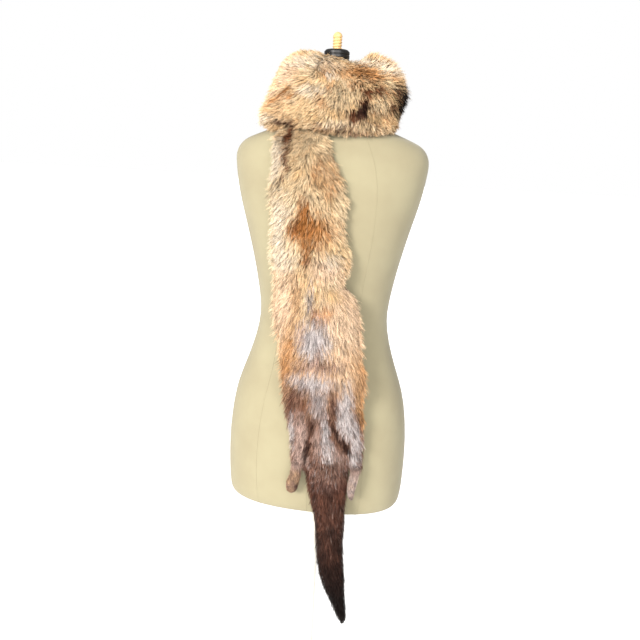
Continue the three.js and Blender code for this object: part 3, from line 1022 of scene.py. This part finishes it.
def hanging_lie(points, normals):
    x, height = points[:, 0], points[:, 2]
    left, right = hanging(left_edge, height), hanging(right_edge, height)
    across = np.clip((x - (left + right) / 2) / ((right - left) / 2), -1, 1)
    spread = np.interp(height, [-217, 34, 120, 260, 440, 520, 600, 700], [-2, 4, 10, 24, 38, 50, 36, 14])
    swirl = np.interp(height, [-217, 120, 440, 520], [3, 6, 9, 18])
    lean = np.radians(spread * across + swirl * (wobble(points, 36, 31) + 0.5 * wobble(points, 14, 32)))
    bend = np.interp(height, [-217, -180, -120, -60, 0, 60], [0.5, 0.5, 0.28, 0.1, 0.08, 0])
    foot = np.where(x < between_paws, foot_places[0], foot_places[1])
    bend += leg_share(points) * np.clip((foot - x) / 20, -0.7, 0.7)
    return np.stack([np.sin(lean) + bend, np.zeros(len(x)), -np.cos(lean)], axis=1)


def paw_lie(points, normals):
    return np.tile(np.array([-0.12, 0, -1.0]), (len(points), 1))


hardly_any = 1e-9


def triangles(item):
    """The three point numbers of each triangle of a piece."""
    mesh = item.data
    mesh.calc_loop_triangles()
    index = np.empty(len(mesh.loop_triangles) * 3, dtype=np.int32)
    mesh.loop_triangles.foreach_get("vertices", index)
    return index.reshape(-1, 3)


def hair_roots(item, count, rng, keep):
    """Places on a skin, spread over it by the density that keep gives, with the skin's normal at each."""
    points, normals = coords(item)
    index = triangles(item)
    corners = points[index]
    area = np.linalg.norm(np.cross(corners[:, 1] - corners[:, 0], corners[:, 2] - corners[:, 0]), axis=1) / 2
    area = area * keep(corners.mean(axis=1), normals[index].mean(axis=1))
    chosen = rng.choice(len(index), size=count, p=area / area.sum())
    a, b = rng.random(count), rng.random(count)
    flip = a + b > 1
    a[flip], b[flip] = 1 - a[flip], 1 - b[flip]
    weights = np.stack([1 - a - b, a, b], axis=1)
    roots = (points[index[chosen]] * weights[:, :, None]).sum(axis=1)
    out = (normals[index[chosen]] * weights[:, :, None]).sum(axis=1)
    return roots, out / np.linalg.norm(out, axis=1, keepdims=True)


def nearest_tuft(roots, tuft_count):
    """The tuft of each hair: the first roots are the tufts' middles, and a hair joins the nearest."""
    tree = kdtree.KDTree(tuft_count)
    for index in range(tuft_count):
        tree.insert(roots[index], index)
    tree.balance()
    return np.array([tree.find(root)[1] for root in roots])


# How tufts differ, and hairs within a tuft: stray, rise and roll in degrees, and the rest in shares
tuft_stray, hair_stray = 13, 7
tuft_growth, hair_growth = (0.8, 1.16), (0.8, 1.05)
tuft_rise, hair_rise = (0.75, 1.25), 5
tuft_tip_rise, hair_tip_rise = 11, 6
tuft_tone, hair_tone, tone_limits = 0.2, 0.15, (0.35, 2.4)
same_dice_in_tuft = 0.7
closing = (0.6, 1.0)
blade_roll = 34
blade_width = (0.7, 1.3)
droop = 0.12

# Guard hairs stand out dark among the rest. A root is painted darker than the hair's body, but less so on top.
guard_share, guard_middle, guard_tip = 0.09, 0.5, 0.25
# Painted shade: roots and middles are darker, as if shaded deep in the fur, roots less so where the skin faces
# up
root_shade_below, root_shade_on_top, middle_shade = 0.24, 0.7, 0.78
# Painted highlight: a hair's tip is painted lighter than its body, where light catches it
tip_highlight_gain, tip_light = 1.5, 0.05
brightest = 0.96

# Rise at root and tip of hair that is tucked in, on the side of a skin and on its underside
tucked_beside = (26, -5)
tucked_below = (85, 65)


def grow(name, item, count, seed, lie, colour, length_at, lift, width, tuft_size, hold, contrast, keep,
         tuck=None):
    """Hair on a skin, as one mesh of tapering blades, in tufts of some hairs each. A tuft has a way, lift,
    length and tone of its own, and its hair closes up towards its tip by the share hold. Hair is denser where
    keep is high. By the share that tuck gives, it lies flat on the skin, and hangs down from an underside."""
    rng = np.random.default_rng(seed)
    roots, out = hair_roots(item, count, rng, keep)
    tuft_count = int(count / tuft_size)
    tuft = nearest_tuft(roots, tuft_count)

    flow = lie(roots, out)
    flow -= out * (flow * out).sum(axis=1, keepdims=True)
    flow /= np.linalg.norm(flow, axis=1, keepdims=True) + hardly_any
    side = np.cross(out, flow)
    stray = np.radians(rng.normal(0, tuft_stray, tuft_count)[tuft] + rng.normal(0, hair_stray, count))[:, None]
    flow = flow * np.cos(stray) + side * np.sin(stray)
    side = np.cross(out, flow)
    length = length_at(roots, out) * rng.uniform(*tuft_growth, tuft_count)[tuft]
    length = length * rng.uniform(*hair_growth, count)
    first_lift = np.interp(out[:, 2], [0.1, 0.5], [lift[0], lift[2]])
    start = np.radians(first_lift * rng.uniform(*tuft_rise, tuft_count)[tuft] + rng.normal(0, hair_rise, count))
    end = lift[1] + rng.normal(0, tuft_tip_rise, tuft_count)[tuft] + rng.normal(0, hair_tip_rise, count)
    end = np.radians(end)
    if tuck is not None:
        share = tuck(roots)
        facing = [-0.9, -0.3]
        start += (np.radians(np.interp(out[:, 2], facing, [tucked_below[0], tucked_beside[0]])) - start) * share
        end += (np.radians(np.interp(out[:, 2], facing, [tucked_below[1], tucked_beside[1]])) - end) * share
    stations = [0, 0.5, 1.0]
    curve = [roots]
    for before, after in zip(stations, stations[1:]):
        middle = (before + after) / 2
        angle = start + (end - start) * middle
        step = flow * np.cos(angle)[:, None] + out * np.sin(angle)[:, None]
        step[:, 2] -= droop * middle
        curve.append(curve[-1] + step * (length * (after - before))[:, None])
    pull = hold * rng.uniform(*closing, count)
    for place, share in ((1, 0.4), (2, 1.0)):
        shift = (curve[place][tuft] - curve[place]) * (pull * share)[:, None]
        curve[place] = curve[place] + shift

    tone = 1 + contrast * (rng.normal(0, tuft_tone, tuft_count)[tuft] + rng.normal(0, hair_tone, count))
    dice = np.where(rng.random(count) < same_dice_in_tuft, rng.random(tuft_count)[tuft], rng.random(count))
    body = colour((curve[1] + curve[2]) / 2, dice) * np.clip(tone, *tone_limits)[:, None]
    guard = (rng.random(count) < guard_share)[:, None]
    # Painted highlight on the tip, and painted shade at the root that is lighter where the skin faces up
    tip = body * tip_highlight_gain + tip_light * np.sqrt(body.mean(axis=1, keepdims=True))
    root_shade = np.interp(out[:, 2], [0.1, 0.45], [root_shade_below, root_shade_on_top])[:, None]
    station_colours = [
        body * root_shade,
        np.where(guard, body * guard_middle, body * middle_shade),
        np.where(guard, body * guard_tip, tip),
    ]

    roll = np.radians(rng.normal(0, blade_roll, count))[:, None]
    across = side * np.cos(roll) + out * np.sin(roll)
    half = (width / 2 * rng.uniform(*blade_width, count))[:, None]
    rows = []
    colours = []
    for place in (0, 1):
        rows += [curve[place] - across * half, curve[place] + across * half]
        colours += [station_colours[place], station_colours[place]]
    rows.append(curve[2])
    colours.append(station_colours[2])
    blade_colours = np.stack(colours, axis=1)
    blade_colours /= np.maximum(1, blade_colours.max(axis=2, keepdims=True) / brightest)
    return blade_mesh(name, np.stack(rows, axis=1), blade_colours)


def paint(item, colours):
    """Paints a colour on each point of a piece."""
    values = np.concatenate([colours, np.ones((len(colours), 1))], axis=1)
    layer = item.data.color_attributes.new("hair_colour", "FLOAT_COLOR", "POINT")
    layer.data.foreach_set("color", np.clip(values, 0, 1).reshape(-1).astype(np.float32))


blade_points = 5
blade_corners = 7


def blade_mesh(name, blades, blade_colours):
    """One mesh from blades of five points: a quad and a tip."""
    count = len(blades)
    points = blades.reshape(-1, 3) * MM
    points[:, 2] += form_edge * MM
    first = (np.arange(count) * blade_points)[:, None]
    loops = np.concatenate([first + [0, 1, 3, 2], first + [2, 3, 4]], axis=1).reshape(-1)
    starts = (np.arange(count) * blade_corners)[:, None] + [0, 4]
    mesh = bpy.data.meshes.new(name)
    mesh.vertices.add(len(points))
    mesh.vertices.foreach_set("co", points.reshape(-1))
    mesh.loops.add(len(loops))
    mesh.loops.foreach_set("vertex_index", loops.astype(np.int32))
    mesh.polygons.add(count * 2)
    mesh.polygons.foreach_set("loop_start", starts.reshape(-1).astype(np.int32))
    mesh.update(calc_edges=True)
    item = bpy.data.objects.new(name, mesh)
    bpy.context.scene.collection.objects.link(item)
    paint(item, blade_colours.reshape(-1, 3))
    return item


def hanging_length(roots, out):
    """Length of the hanging stretch's hair: less at the back and at the tail's end, more on the legs' ends."""
    back = np.interp(-out[:, 1], [-1, 0], [0.6, 1])
    back += np.interp(out[:, 2], [0.1, 0.5], [0, 0.3])
    end = np.interp(roots[:, 2], [-214, -184], [0.3, 1])
    return hanging(hair_length, roots[:, 2]) * back * end * (1 + 0.5 * leg_share(roots))


def wrap_length(roots, out):
    """Length of the hair round the neck: more at the left, at the right upper corner and at the low corners."""
    facing = (out * radial(roots)).sum(axis=1)
    bearing = bearing_of(roots)
    above = roots[:, 2] - np.interp(bearing, wrap_foot_table[:, 0], wrap_foot_table[:, 1])
    left = np.interp(bearing, [165, 180, 205, 232], [0, 1, 1, 0])
    right = np.interp((bearing + 60) % 360, [26, 46, 75, 95], [0, 1, 1, 0])
    corner = right * np.interp(roots[:, 2], [752, 772, 806, 815], [0, 1, 1, 0.5])
    low_corners = left * np.interp(above, [14, 44], [0.7, 0]) + right * np.interp(above, [10, 50], [0.45, 0])
    left *= np.interp(roots[:, 2], [766, 782], [1, 0])
    fluff = 1 + 0.35 * left + 0.05 * right + 0.7 * corner + low_corners
    low_corners += 1.1 * join_share(roots)
    fluff *= 1 + 0.3 * wobble(roots, 8, 41) * np.interp(above, [4, 34], [1, 0])
    foot = np.interp(above, [6, 24], [0.55, 1])
    foot = np.maximum(foot, np.minimum(low_corners * 1.4, 1))
    return np.interp(facing, [-1, 0, 0.4], [7, 14.5, 16.5]) * foot * fluff


def paw_length(roots, out):
    return np.interp(roots[:, 2], [60, 75, 100, 119], [3, 4.5, 9, 13])


# Where hair grows: a share of the full density for each triangle of a skin, from its middle and normal. It is
# never quite 0, so that the shares always add up to something.
def sector(low, high):
    """Hair between two bearings."""
    def keep(middles, normals):
        bearing = bearing_of(middles)
        above, below = bearing > low, bearing <= high
        return (above & below if low < high else above | below) + hardly_any
    return keep


def band(low, high):
    """Hair between two heights, denser at the legs' ends and under the wrap, and thinner at the back."""
    def keep(middles, normals):
        inside = (middles[:, 2] > low) & (middles[:, 2] <= high)
        ends = leg_share(middles) + np.interp(middles[:, 2], [660, 690, 700], [0, 0.6, 3])
        return inside * np.interp(-normals[:, 1], [-1, 0], [0.4, 1]) * (1 + ends) + hardly_any
    return keep


def below_the_joint(middles, normals):
    """Hair on a paw, but not on its top, which lies inside the leg's fur."""
    return np.interp(normals[:, 2], [0.2, 0.5], [1, 0]) + hardly_any


# Rise of the hair from the skin in degrees: at its root, at its tip, and at its root where the skin faces up
full_lift = (62, 24, 62)
long_lift = (62, 22, 26)
sleek_lift = (40, 5, 40)
paw_lift = (26, 5, 20)

furs = {}
for fur_name, skin, count, seed, lie, colour, length_at, lift, width, tuft_size, hold, contrast, keep in (
    ("wrap_fur_left", wrap_skin, 54000, 101, wrap_lie, wrap_colour, wrap_length,
     full_lift, 0.55, 5, 0.7, 1.6, sector(174, 282)),
    ("wrap_fur_right", wrap_skin, 48000, 102, wrap_lie, wrap_colour, wrap_length,
     full_lift, 0.55, 5, 0.7, 1.8, sector(282, 22)),
    ("wrap_fur_far", wrap_skin, 34000, 103, wrap_lie, wrap_colour, wrap_length,
     full_lift, 0.7, 6, 0.7, 1.1, sector(22, 174)),
    ("hanging_fur_upper", hanging_skin, 56000, 104, hanging_lie, hanging_colour, hanging_length,
     long_lift, 0.55, 5, 0.7, 1.8, band(446, 800)),
    ("hanging_fur_lower", hanging_skin, 52000, 105, hanging_lie, hanging_colour, hanging_length,
     sleek_lift, 0.5, 3, 0.6, 1.7, band(120, 446)),
    ("tail_fur", hanging_skin, 28000, 106, hanging_lie, hanging_colour, hanging_length,
     sleek_lift, 0.45, 3, 0.5, 2.0, band(-300, 120)),
):
    tuck = leg_share if skin == hanging_skin else flat_places
    furs[fur_name] = grow(
        fur_name, skin, count, seed, lie, colour, length_at, lift, width, tuft_size, hold, contrast, keep, tuck)

paw_furs = []
for fur_name, skin, count, seed in (
    ("paw_fur_left", paw_skin_left, 3600, 107),
    ("paw_fur_right", paw_skin_right, 3000, 108),
):
    paw_furs.append(grow(fur_name, skin, count, seed, paw_lie, paw_colour, paw_length,
                         paw_lift, 0.4, 4, 0.3, 0.7, below_the_joint))

skin_wall = 1.6
# Share of the hair's colours painted on the skin: painted shade deep between the tufts
skin_painted_shade = 0.55


def finish_skin(item, colour, slot, nodes):
    """Gives a skin its thickness, and paints it with its hair's colours darkened, as painted shade between the
    tufts.
    """
    modify(item, "SOLIDIFY", thickness=skin_wall * MM, offset=-1)
    paint(item, colour(coords(item)[0]) * skin_painted_shade)
    only(item)
    bpy.ops.object.shade_smooth()
    finish_piece(item, "skin", slot, *nodes)


finish_skin(wrap_skin, wrap_colour, "golden_fur", wrap_nodes)
finish_skin(hanging_skin, hanging_colour, "tawny_fur", hanging_nodes)
finish_skin(paw_skin_left, paw_colour, "paw_fur", ["hind_paw_left"])
finish_skin(paw_skin_right, paw_colour, "paw_fur", ["hind_paw_right"])
fur_slots = {"hanging_fur_lower": "tawny_fur", "tail_fur": "dark_fur"}
for fur_name, fur in furs.items():
    finish_piece(fur, "fur", fur_slots.get(fur_name, "golden_fur"))
for fur in paw_furs:
    finish_piece(fur, "fur", "paw_fur")

# The floor

bpy.ops.object.select_all(action="DESELECT")
bpy.ops.mesh.primitive_plane_add(size=60, location=(0, 0, 0))
floor = bpy.context.object
floor.name = "Floor"
floor_look, _, floor_shader = new_material("Plain pale floor", 0.9, colour="#f4f4f4")
floor_shader.inputs["Emission Color"].default_value = (1, 1, 1, 1)
floor_shader.inputs["Emission Strength"].default_value = 0.45
floor.data.materials.append(floor_look)
